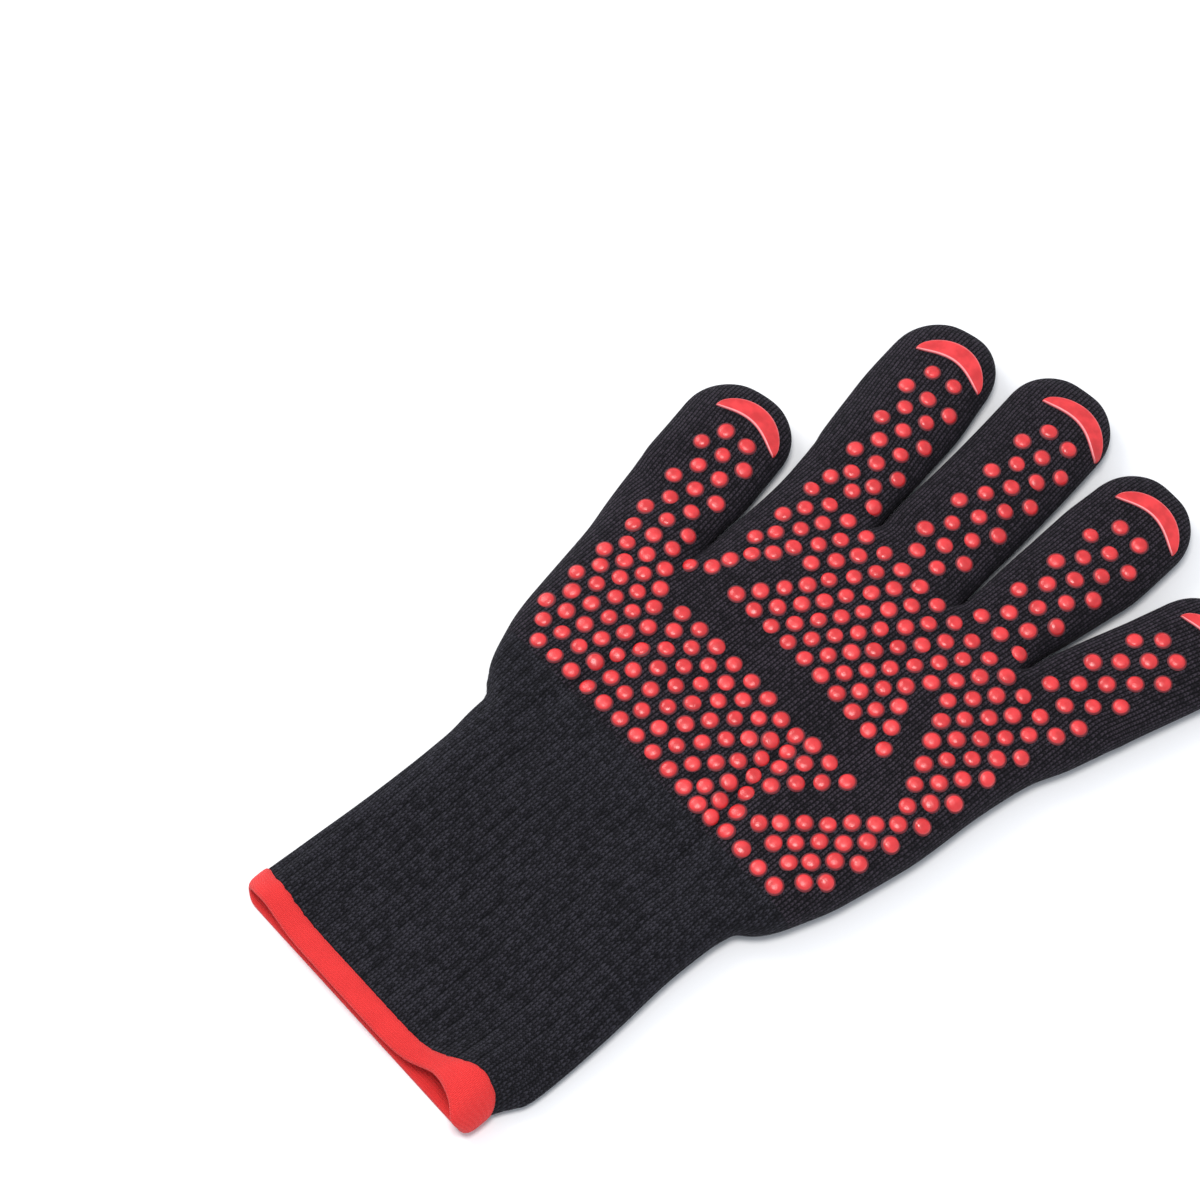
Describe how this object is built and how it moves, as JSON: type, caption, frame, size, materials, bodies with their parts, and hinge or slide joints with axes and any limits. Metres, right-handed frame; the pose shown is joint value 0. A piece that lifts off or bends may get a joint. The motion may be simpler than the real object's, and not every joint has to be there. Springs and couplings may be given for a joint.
{
  "type": "heat resistant glove",
  "caption": "Left heat resistant glove lying palm up: dark knit hand over a liner, raised red silicone grip dots and fingertip crescents, ribbed cuff with a red hem.",
  "frame": {"origin": "on the flat back of the hand, under the middle of the heel, where the glove rests on the table", "axes": "+Y along the glove to the fingertips, +X to the little finger, +Z out of the palm"},
  "size_m": [0.1944, 0.3274, 0.0156],
  "materials": {
    "aramid_knit": "matte jersey knit",
    "rib_knit": "matte rib knit",
    "cotton_liner": "matte dark cotton knit",
    "hem_knit": "matte knit binding",
    "silicone": "satin printed silicone"
  },
  "bodies": {
    "palm": {"palm_shell": "aramid_knit", "palm_liner": "cotton_liner", "upper_palm_dots": "silicone", "heel_dots": "silicone", "wrist_row_dots": "silicone", "thumb_side_dots": "silicone", "thumb_web_dots": "silicone", "outer_edge_dots": "silicone"},
    "cuff": {"cuff_shell": "rib_knit", "cuff_liner": "cotton_liner", "hem_binding": "hem_knit"},
    "index_base": {"index_base_shell": "aramid_knit", "index_base_liner": "cotton_liner", "index_base_dots": "silicone"},
    "index_middle": {"index_middle_shell": "aramid_knit", "index_middle_liner": "cotton_liner", "index_middle_dots": "silicone"},
    "index_tip": {"index_tip_shell": "aramid_knit", "index_tip_liner": "cotton_liner", "index_tip_dots": "silicone", "index_crescent": "silicone"},
    "middle_base": {"middle_base_shell": "aramid_knit", "middle_base_liner": "cotton_liner", "middle_base_dots": "silicone"},
    "middle_middle": {"middle_middle_shell": "aramid_knit", "middle_middle_liner": "cotton_liner", "middle_middle_dots": "silicone"},
    "middle_tip": {"middle_tip_shell": "aramid_knit", "middle_tip_liner": "cotton_liner", "middle_tip_dots": "silicone", "middle_crescent": "silicone"},
    "ring_base": {"ring_base_shell": "aramid_knit", "ring_base_liner": "cotton_liner", "ring_base_dots": "silicone"},
    "ring_middle": {"ring_middle_shell": "aramid_knit", "ring_middle_liner": "cotton_liner", "ring_middle_dots": "silicone"},
    "ring_tip": {"ring_tip_shell": "aramid_knit", "ring_tip_liner": "cotton_liner", "ring_tip_dots": "silicone", "ring_crescent": "silicone"},
    "little_base": {"little_base_shell": "aramid_knit", "little_base_liner": "cotton_liner", "little_base_dots": "silicone"},
    "little_middle": {"little_middle_shell": "aramid_knit", "little_middle_liner": "cotton_liner", "little_middle_dots": "silicone"},
    "little_tip": {"little_tip_shell": "aramid_knit", "little_tip_liner": "cotton_liner", "little_tip_dots": "silicone", "little_crescent": "silicone"},
    "thumb_base": {"thumb_base_shell": "aramid_knit", "thumb_base_liner": "cotton_liner", "thumb_base_dots": "silicone"},
    "thumb_tip": {"thumb_tip_shell": "aramid_knit", "thumb_tip_liner": "cotton_liner", "thumb_tip_dots": "silicone", "thumb_crescent": "silicone"}
  },
  "joints": [
    {"name": "wrist_bend", "type": "hinge", "parent": "palm", "child": "cuff", "pos_m": [0.0075, -0.0215, 0.007], "axis": [1, 0, 0], "range_deg": [-30, 30], "stiffness_Nm_per_rad": 0.2},
    {"name": "index_base_fold", "type": "hinge", "parent": "palm", "child": "index_base", "pos_m": [-0.0303, 0.1088, 0.0159], "axis": [1, 0, 0], "range_deg": [0, 70], "stiffness_Nm_per_rad": 0.01},
    {"name": "index_middle_fold", "type": "hinge", "parent": "index_base", "child": "index_middle", "pos_m": [-0.0373, 0.1409, 0.0159], "axis": [1, 0, 0], "range_deg": [0, 75], "stiffness_Nm_per_rad": 0.01},
    {"name": "index_tip_fold", "type": "hinge", "parent": "index_middle", "child": "index_tip", "pos_m": [-0.04235, 0.16405, 0.0159], "axis": [1, 0, 0], "range_deg": [0, 50.1], "stiffness_Nm_per_rad": 0.01},
    {"name": "middle_base_fold", "type": "hinge", "parent": "palm", "child": "middle_base", "pos_m": [0.006, 0.1088, 0.0159], "axis": [1, 0, 0], "range_deg": [0, 70], "stiffness_Nm_per_rad": 0.01},
    {"name": "middle_middle_fold", "type": "hinge", "parent": "middle_base", "child": "middle_middle", "pos_m": [0.00273, 0.14274, 0.0159], "axis": [1, 0, 0], "range_deg": [0, 75], "stiffness_Nm_per_rad": 0.01},
    {"name": "middle_tip_fold", "type": "hinge", "parent": "middle_middle", "child": "middle_tip", "pos_m": [0.00036, 0.16743, 0.0159], "axis": [1, 0, 0], "range_deg": [0, 50.1], "stiffness_Nm_per_rad": 0.01},
    {"name": "ring_base_fold", "type": "hinge", "parent": "palm", "child": "ring_base", "pos_m": [0.0414, 0.1088, 0.0159], "axis": [1, 0, 0], "range_deg": [0, 70], "stiffness_Nm_per_rad": 0.01},
    {"name": "ring_middle_fold", "type": "hinge", "parent": "ring_base", "child": "ring_middle", "pos_m": [0.04169, 0.142, 0.0159], "axis": [1, 0, 0], "range_deg": [0, 75], "stiffness_Nm_per_rad": 0.01},
    {"name": "ring_tip_fold", "type": "hinge", "parent": "ring_middle", "child": "ring_tip", "pos_m": [0.04191, 0.1669, 0.0159], "axis": [1, 0, 0], "range_deg": [0, 50.1], "stiffness_Nm_per_rad": 0.01},
    {"name": "little_base_fold", "type": "hinge", "parent": "palm", "child": "little_base", "pos_m": [0.0742, 0.1088, 0.0159], "axis": [1, 0, 0], "range_deg": [0, 70], "stiffness_Nm_per_rad": 0.01},
    {"name": "little_middle_fold", "type": "hinge", "parent": "little_base", "child": "little_middle", "pos_m": [0.08088, 0.13372, 0.0159], "axis": [1, 0, 0], "range_deg": [0, 75], "stiffness_Nm_per_rad": 0.01},
    {"name": "little_tip_fold", "type": "hinge", "parent": "little_middle", "child": "little_tip", "pos_m": [0.08523, 0.14995, 0.0159], "axis": [1, 0, 0], "range_deg": [0, 50.1], "stiffness_Nm_per_rad": 0.01},
    {"name": "thumb_base_fold", "type": "hinge", "parent": "palm", "child": "thumb_base", "pos_m": [-0.0624, 0.0618, 0.0159], "axis": [1, 0, 0], "range_deg": [0, 85], "stiffness_Nm_per_rad": 0.01},
    {"name": "thumb_tip_fold", "type": "hinge", "parent": "thumb_base", "child": "thumb_tip", "pos_m": [-0.06798, 0.08617, 0.0159], "axis": [1, 0, 0], "range_deg": [0, 85], "stiffness_Nm_per_rad": 0.01}
  ],
  "couplings": [
    {"joint": "index_tip_fold", "follows": "index_middle_fold", "ratio": 0.6667},
    {"joint": "middle_tip_fold", "follows": "middle_middle_fold", "ratio": 0.6667},
    {"joint": "ring_tip_fold", "follows": "ring_middle_fold", "ratio": 0.6667},
    {"joint": "little_tip_fold", "follows": "little_middle_fold", "ratio": 0.6667}
  ]
}
